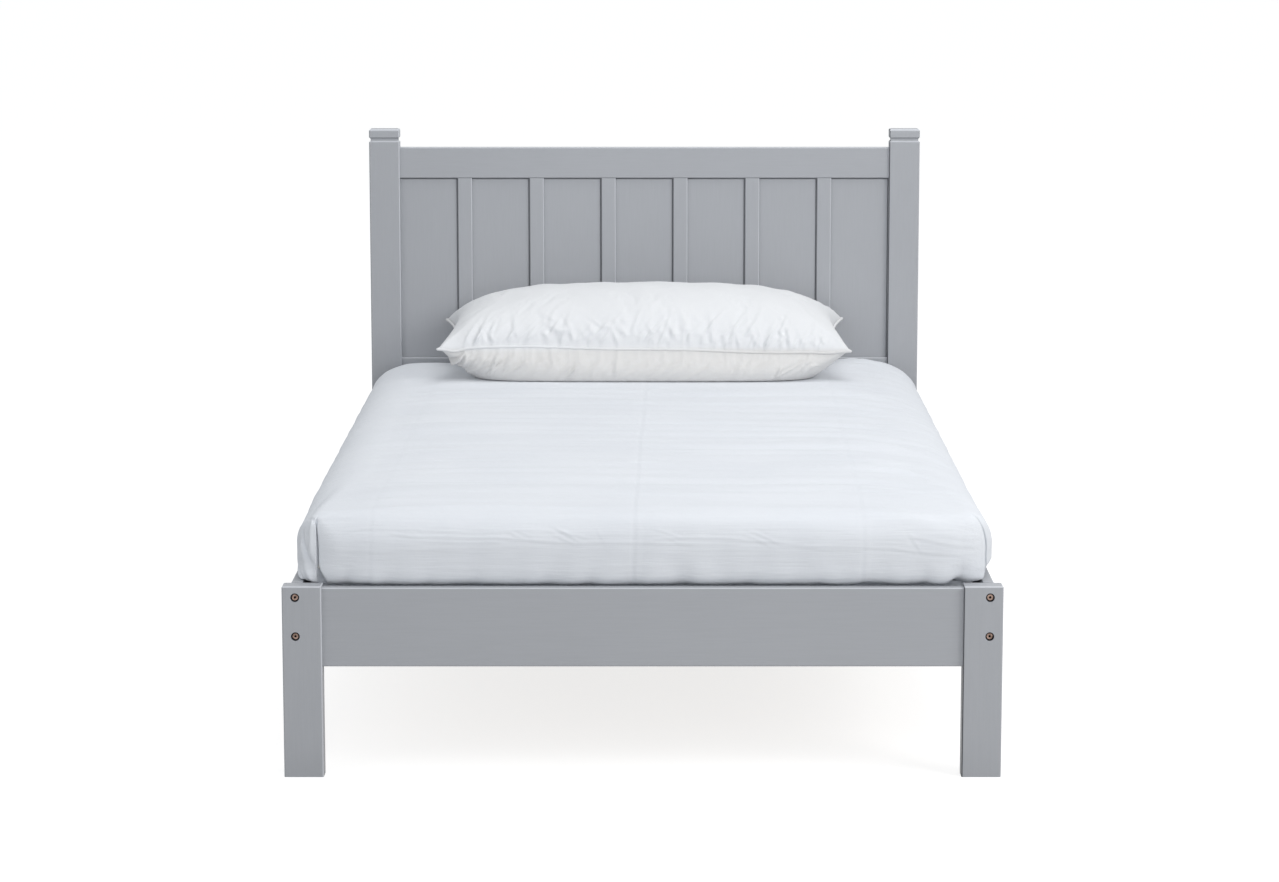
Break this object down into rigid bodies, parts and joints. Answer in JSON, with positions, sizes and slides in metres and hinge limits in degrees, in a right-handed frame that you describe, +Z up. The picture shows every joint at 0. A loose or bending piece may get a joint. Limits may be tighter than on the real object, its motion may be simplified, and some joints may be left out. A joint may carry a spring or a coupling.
{
  "type": "bed",
  "caption": "Painted timber bed with a tall panelled headboard, a low foot rail, a slatted base, a mattress under a tucked sheet and a plump piped pillow.",
  "frame": {"origin": "on the floor, at the centre of the bed's length and width", "axes": "+Y towards the headboard, +X to the right as seen from the foot, +Z up"},
  "size_m": [1.27, 1.97, 1],
  "materials": {
    "painted_wood": "satin grey paint",
    "bare_pine": "planed pine",
    "zinc_steel": "zinc plated",
    "bronze_steel": "dark bronze plated",
    "yellow_steel": "yellow zinc plated",
    "ticking": "woven mattress cover",
    "sheet_cotton": "plain white cotton",
    "pillow_cotton": "plain white cotton with a piped seam"
  },
  "bodies": {
    "frame": {"head_post_left": "painted_wood", "head_post_right": "painted_wood", "foot_post_left": "painted_wood", "foot_post_right": "painted_wood", "head_top_rail": "painted_wood", "head_mid_rail": "painted_wood", "head_low_rail": "painted_wood", "foot_rail": "painted_wood", "side_rail_left": "painted_wood", "side_rail_right": "painted_wood", "muntin_1": "painted_wood", "muntin_2": "painted_wood", "muntin_3": "painted_wood", "muntin_4": "painted_wood", "muntin_5": "painted_wood", "muntin_6": "painted_wood", "head_panel_1": "painted_wood", "head_panel_2": "painted_wood", "head_panel_3": "painted_wood", "head_panel_4": "painted_wood", "head_panel_5": "painted_wood", "head_panel_6": "painted_wood", "head_panel_7": "painted_wood", "ledge_left": "painted_wood", "ledge_right": "painted_wood", "slat_01": "bare_pine", "slat_02": "bare_pine", "slat_03": "bare_pine", "slat_04": "bare_pine", "slat_05": "bare_pine", "slat_06": "bare_pine", "slat_07": "bare_pine", "slat_08": "bare_pine", "slat_09": "bare_pine", "slat_10": "bare_pine", "slat_11": "bare_pine", "slat_12": "bare_pine", "slat_13": "bare_pine", "centre_rail": "bare_pine", "centre_leg": "bare_pine", "locating_dowels": "bare_pine", "hanger_foot": "zinc_steel", "hanger_head": "zinc_steel", "barrel_nuts": "zinc_steel", "leg_stud": "zinc_steel", "frame_bolts": "bronze_steel", "ledge_screws": "yellow_steel", "slat_screws": "yellow_steel", "hanger_screws": "yellow_steel"},
    "made_up_mattress": {"mattress": "ticking", "sheet": "sheet_cotton"},
    "pillow": {"pillow": "pillow_cotton"}
  },
  "joints": [
    {"name": "mattress_lift", "type": "slide", "parent": "frame", "child": "made_up_mattress", "axis": [0, 0, 1], "range_m": [0, 0.3]},
    {"name": "pillow_lift", "type": "slide", "parent": "made_up_mattress", "child": "pillow", "axis": [0, 0, 1], "range_m": [0, 0.35]}
  ]
}
